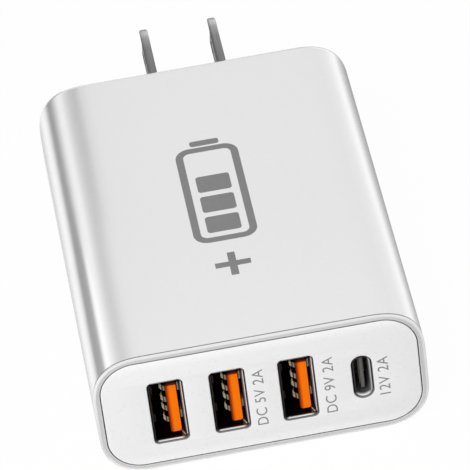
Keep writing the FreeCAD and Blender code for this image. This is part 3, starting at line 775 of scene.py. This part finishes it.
def springGold(node, spec):
    # gold with a painted highlight on the springs' noses and painted shade where they lie back in the socket
    low = boxOf(node)[0]

    def fall(tree):
        # painted shade by depth and painted highlight streaks across, multiplied
        depth = ramp(tree, alongAxis(tree, 1, low[1], low[1] + spec["springDepth"]), spec["springFall"])
        wide = ramp(tree, alongAxis(tree, 0, low[0], low[0] + spec["springWide"]), spec["springTone"])
        return product(tree, depth, wide)
    return textured(node + "_gold", spec["gold"], spread=0.03, roughness=0.4, scale=900, bump=0.05,
                    metallic=0.2, shade=fall)


def highlightBarSolid(node, spec):
    # painted highlight: thin pale bar from the mouth's low right-hand corner over the socket's floor to the
    # tongue, standing for the light on the inner corner's edge: a straight bar, sheared in proportion to the
    # depth
    low, high = boxOf(node)
    inner = spec["sheet"] + (spec["corner"] - spec["sheet"]) * (1 - math.sqrt(0.5))
    half = spec["seam"] / 2
    inner += half * spec["seamSeat"]
    middle = np.array([high[0] - inner, 0.0, low[2] + inner])
    y0, y1 = (low[1] + d for d in spec["highlightBarDepth"])
    points, faces, marks = barSolid(middle, half, half, half * spec["highlightBarCorner"], y0, y1,
                                    half * spec["highlightBarEdge"])
    share = (points[:, 1] - y0) / (y1 - y0)
    points[:, 0] += share * spec["highlightBarTurn"][0]
    points[:, 2] += share * spec["highlightBarTurn"][1]
    return points, faces, marks


def dress(material, *names):
    # one finish for whole nodes
    for name in names:
        nodes[name].data.materials.clear()
        nodes[name].data.materials.append(material)


for i in usbAPorts:
    dress(socketSteel("socket_steel_%d" % i, "usb_a_shell_%d" % i, usbA), "usb_a_shell_%d" % i)
    dress(tongueOrange("usb_a_tongue_%d" % i, usbA), "usb_a_tongue_%d" % i)
    dress(springGold("usb_a_contacts_%d" % i, usbA), "usb_a_contacts_%d" % i)
# pale bars that paint the highlight along the sockets' inner corner edges
highlightBarFinish = textured("painted_highlight_bar", (0.62, 0.61, 0.60), spread=0.05, roughness=0.4, scale=900, bump=0.03,
                      metallic=0.2)
addPiece("shell_highlight_bars", joined(*(highlightBarSolid("usb_a_shell_%d" % i, usbA) for i in usbAPorts)), [highlightBarFinish])

innerFinishes = {
    # name: (colour, spread, roughness, grain scale, relief, metallic, nodes)
    "contact_plate": ((0.42, 0.36, 0.24), 0.05, 0.35, 900, 0.05, 0.6, ("usb_c_contacts",)),
    "carrier_plastic": ((0.70, 0.70, 0.68), 0.03, 0.5, 800, 0.10, 0.0, ("blade_carrier",)),
    "lead_strip": ((0.78, 0.62, 0.38), 0.06, 0.32, 900, 0.10, 1.0, ("lead_left", "lead_right")),
    "board_green": ((0.02, 0.17, 0.07), 0.25, 0.45, 260, 0.30, 0.0, ("main_board", "port_board")),
    "ferrite": ((0.05, 0.05, 0.055), 0.15, 0.6, 500, 0.25, 0.0, ("transformer_core", "choke_core")),
    "bobbin_black": ((0.03, 0.03, 0.03), 0.10, 0.45, 800, 0.10, 0.0, ("transformer_bobbin",)),
    "winding_tape": ((0.78, 0.55, 0.06), 0.06, 0.35, 400, 0.15, 0.0, ("transformer_winding",)),
    "can_sleeve": ((0.05, 0.07, 0.12), 0.08, 0.3, 500, 0.05, 0.0,
                   ("input_capacitor_1", "input_capacitor_2", "output_capacitor_1", "output_capacitor_2",
                    "output_capacitor_3")),
    "sink_aluminium": ((0.72, 0.73, 0.74), 0.05, 0.38, 700, 0.20, 1.0, ("heat_sink",)),
    "epoxy_black": ((0.025, 0.025, 0.027), 0.12, 0.5, 900, 0.20, 0.0,
                    ("switching_transistor", "bridge_rectifier", "optocoupler", "primary_controller",
                     "port_controller_1", "port_controller_2")),
    "screw_zinc": ((0.66, 0.66, 0.64), 0.05, 0.3, 900, 0.10, 1.0, ("transistor_screw",)),
    "copper_wire": ((0.62, 0.30, 0.14), 0.12, 0.3, 1200, 0.40, 1.0, ("choke_winding_1", "choke_winding_2")),
    "film_yellow": ((0.75, 0.48, 0.05), 0.04, 0.4, 600, 0.08, 0.0, ("filter_capacitor",)),
    "fuse_brown": ((0.22, 0.10, 0.05), 0.06, 0.35, 600, 0.08, 0.0, ("mains_fuse",)),
    "varistor_blue": ((0.05, 0.20, 0.46), 0.08, 0.4, 500, 0.20, 0.0, ("varistor",)),
}
for name, (colour, spread, roughness, scale, relief, metallic, wearers) in innerFinishes.items():
    dress(textured(name, colour, spread, roughness, scale, relief, metallic), *wearers)
print("finishes set")


# stage: floor, cards that the gloss mirrors, lamp, world and camera

stage = {
    "floorHalf": 4.0,        # metres, as are the key lamp's size and place
    "floorGlow": 0.97,       # share of plain white that the camera sees in the floor
    "floorDrop": 0.02,
    "floorColour": (0.9, 0.9, 0.9, 1.0),
    "floorCardHeight": 0.03,
    "skyLight": 0.38,
    "keyPower": 3.6,
    "keySize": 0.5,
    "keyPlace": (-0.28, -0.42, 0.52),
    "ceilingHeight": 275.0,
    "ceilingY": (-300.0, 1100.0),
    "ceilingFade": (270.0, 350.0),         # y where the near levels give way to the far ones
    "wallFade": (200.0, 262.0),
    "rightFade": (70.0, 105.0),
    "cardY": (-700.0, 1100.0),
    "frontFade": (-38.0, -24.0),
    "frontShare": (0.85, 0.22),    # share of the levels in front of the object: left cards, all others
    # place and level across each card, near the front and then far from it
    "ceiling": (((-520, 1.2), (-300, 1.27), (-250, 1.13), (-200, 0.9), (-150, 0.64), (-110, 0.55),
                 (-90, 0.6), (-50, 0.85), (-30, 0.97), (0, 1.04), (320, 1.1)),
                ((-520, 1.15), (-260, 1.2), (-220, 1.1), (-150, 0.72), (-120, 0.58), (-80, 0.47),
                 (-60, 0.48), (-45, 0.61), (-10, 1.08), (320, 1.1))),
    "leftX": -210.0,
    "leftWall": (((0, 0.04), (25, 0.0), (80, 0.0), (100, 0.23), (120, 0.9), (135, 1.32), (160, 1.44),
                  (205, 1.3)),
                 ((0, 0.16), (30, 0.02), (60, 0.1), (80, 0.29), (120, 0.73), (165, 1.13), (205, 1.19))),
    "leftFloor": (((-210, 0.1), (-120, 0.52), (-80, 0.98), (-55, 1.2), (-45, 1.1), (-40, 0.98),
                   (-35, 0.77), (-29, 0.66)),
                  ((-210, 0.26), (-120, 0.62), (-80, 1.08), (-65, 1.23), (-45, 1.3), (-40, 1.24),
                   (-32, 0.7), (-29, 0.62))),
    "rightX": 250.0,
    "rightWall": (((0, 1.3), (50, 1.13), (95, 0.95), (140, 0.9), (270, 0.9)),
                  ((0, 1.56), (50, 1.45), (95, 1.3), (140, 1.2), (270, 1.12))),
    "rightFloor": (((29, 0.22), (40, 0.45), (60, 0.8), (80, 1.1), (100, 1.28), (130, 1.45),
                    (250, 1.56)),) * 2,
}


def rayShare(tree, seenValue, otherValue):
    # one value for camera, glossy and transmission rays, another for the rest
    path = tree.nodes.new("ShaderNodeLightPath")
    seen = path.outputs["Is Camera Ray"]
    for kind in ("Is Glossy Ray", "Is Transmission Ray"):
        either = tree.nodes.new("ShaderNodeMath")
        either.operation = "MAXIMUM"
        tree.links.new(seen, either.inputs[0])
        tree.links.new(path.outputs[kind], either.inputs[1])
        seen = either.outputs[0]
    scale = tree.nodes.new("ShaderNodeMapRange")
    scale.inputs["To Min"].default_value = otherValue
    scale.inputs["To Max"].default_value = seenValue
    tree.links.new(seen, scale.inputs["Value"])
    return scale.outputs["Result"]


def emptyMaterial(name):
    # material with only its output node
    made = bpy.data.materials.new(name)
    made.use_nodes = True
    made.node_tree.nodes.clear()
    return made, made.node_tree, made.node_tree.nodes.new("ShaderNodeOutputMaterial")


def addStage(name, corners, material):
    # one flat four-cornered sheet
    mesh = bpy.data.meshes.new(name)
    mesh.from_pydata((np.array(corners, dtype=float) * mm).tolist(), [], [[0, 1, 2, 3]])
    mesh.materials.append(material)
    flat = bpy.data.objects.new(name, mesh)
    bpy.context.scene.collection.objects.link(flat)
    return flat


def makeFloor(spec):
    # white floor that takes the object's shadow, mostly plain white to the camera
    made, tree, end = emptyMaterial("floor_white")
    plain = addNode(tree, "ShaderNodeBsdfDiffuse", Color=spec["floorColour"])
    glow = addNode(tree, "ShaderNodeEmission", Color=(1.0, 1.0, 1.0, 1.0))
    mix = tree.nodes.new("ShaderNodeMixShader")
    tree.links.new(rayShare(tree, spec["floorGlow"], 0.0), mix.inputs[0])
    tree.links.new(plain.outputs[0], mix.inputs[1])
    tree.links.new(glow.outputs[0], mix.inputs[2])
    tree.links.new(mix.outputs[0], end.inputs["Surface"])
    h = spec["floorHalf"] / mm
    corners = [(x, y, -spec["floorDrop"]) for x, y in ((-h, -h), (h, -h), (h, h), (-h, h))]
    addStage("floor", corners, made)


def addCard(name, corners, levels, axis, fade, front):
    # flat card that only reflections see: levels along one axis, the near ones giving way to the far ones
    # along Y, and mixed with white in front of the object
    made, tree, end = emptyMaterial(name)
    glow = tree.nodes.new("ShaderNodeEmission")
    first, last = levels[0][0][0], levels[0][-1][0]
    place = alongAxis(tree, axis, first, last)
    near, far = (ramp(tree, place, [((x - first) / (last - first), level) for x, level in stops])
                 for stops in levels)
    level = mixed(tree, alongAxis(tree, 1, *fade), near, far)
    level = mixed(tree, alongAxis(tree, 1, *front), (1.0, 1.0, 1.0, 1.0), level)
    tree.links.new(level, glow.inputs["Color"])
    tree.links.new(glow.outputs[0], end.inputs["Surface"])
    card = addStage(name, corners, made)
    card.visible_camera = False
    card.visible_diffuse = False
    card.visible_shadow = False


def levelCard(name, levels, y0, y1, z, fade, front):
    # card at one height, with its levels across X
    x0, x1 = levels[0][0][0], levels[0][-1][0]
    addCard(name, [(x0, y0, z), (x1, y0, z), (x1, y1, z), (x0, y1, z)], levels, 0, fade, front)


def wallCard(name, levels, x, y0, y1, fade, front):
    # upright card beside the object, with its levels up Z
    z0, z1 = levels[0][0][0], levels[0][-1][0]
    addCard(name, [(x, y0, z0), (x, y1, z0), (x, y1, z1), (x, y0, z1)], levels, 2, fade, front)


def makeCards(spec):
    # one card above the object, and a wall and a floor card on either side of it
    left, right = ((*spec["frontFade"], share) for share in spec["frontShare"])
    span, height, fade = spec["cardY"], spec["floorCardHeight"], spec["wallFade"]
    levelCard("card_ceiling", spec["ceiling"], *spec["ceilingY"], spec["ceilingHeight"], spec["ceilingFade"],
              right)
    wallCard("card_left", spec["leftWall"], spec["leftX"], *span, fade, left)
    levelCard("card_left_floor", spec["leftFloor"], *span, height, fade, left)
    wallCard("card_right", spec["rightWall"], spec["rightX"], *span, spec["rightFade"], right)
    levelCard("card_right_floor", spec["rightFloor"], *span, height, fade, right)


def makeLamp(spec):
    # soft round lamp aimed at the origin
    lamp = bpy.data.lights.new("key", "AREA")
    lamp.energy = spec["keyPower"]
    lamp.shape = "DISK"
    lamp.size = spec["keySize"]
    holder = bpy.data.objects.new("key", lamp)
    holder.location = spec["keyPlace"]
    holder.rotation_euler = (-Vector(spec["keyPlace"])).to_track_quat("-Z", "Y").to_euler()
    holder.visible_camera = False
    holder.visible_glossy = False
    bpy.context.scene.collection.objects.link(holder)


def makeWorld(spec):
    # white to the camera and in reflections, plain light for the rest
    world = bpy.data.worlds.new("studio")
    world.use_nodes = True
    sky = world.node_tree.nodes["Background"]
    sky.inputs["Color"].default_value = (1.0, 1.0, 1.0, 1.0)
    world.node_tree.links.new(rayShare(world.node_tree, 1.0, spec["skyLight"]), sky.inputs["Strength"])
    bpy.context.scene.world = world


view = {
    "azimuth": -3.85,
    "elevation": 38.67,
    "roll": -7.66,
    "distance": 800.0,
    "lens": 354.3,
    "sensor": 36.0,
    "clip": (0.01, 20.0),    # metres
    "target": (1.01, -19.05, 23.36),
}


def makeCamera(spec):
    # looks at the target from the given azimuth, elevation and distance, rolled about its own axis
    turn, lift, roll = (math.radians(spec[k]) for k in ("azimuth", "elevation", "roll"))
    back = Vector((math.sin(turn) * math.cos(lift), -math.cos(turn) * math.cos(lift), math.sin(lift)))
    right = (-back).cross(Vector((0, 0, 1))).normalized()
    up = right.cross(-back)
    across = right * math.cos(roll) + up * math.sin(roll)
    above = up * math.cos(roll) - right * math.sin(roll)
    camera = bpy.data.objects.new("camera", bpy.data.cameras.new("camera"))
    camera.data.lens = spec["lens"]
    camera.data.sensor_width = spec["sensor"]
    camera.data.clip_start, camera.data.clip_end = spec["clip"]
    place = Matrix((across, above, back)).transposed().to_4x4()
    place.translation = (Vector(spec["target"]) + back * spec["distance"]) * mm
    camera.matrix_world = place
    bpy.context.scene.collection.objects.link(camera)
    bpy.context.scene.camera = camera


makeFloor(stage)
makeCards(stage)
makeLamp(stage)
makeWorld(stage)
makeCamera(view)
bpy.context.scene.view_settings.view_transform = "Standard"
print("stage set")
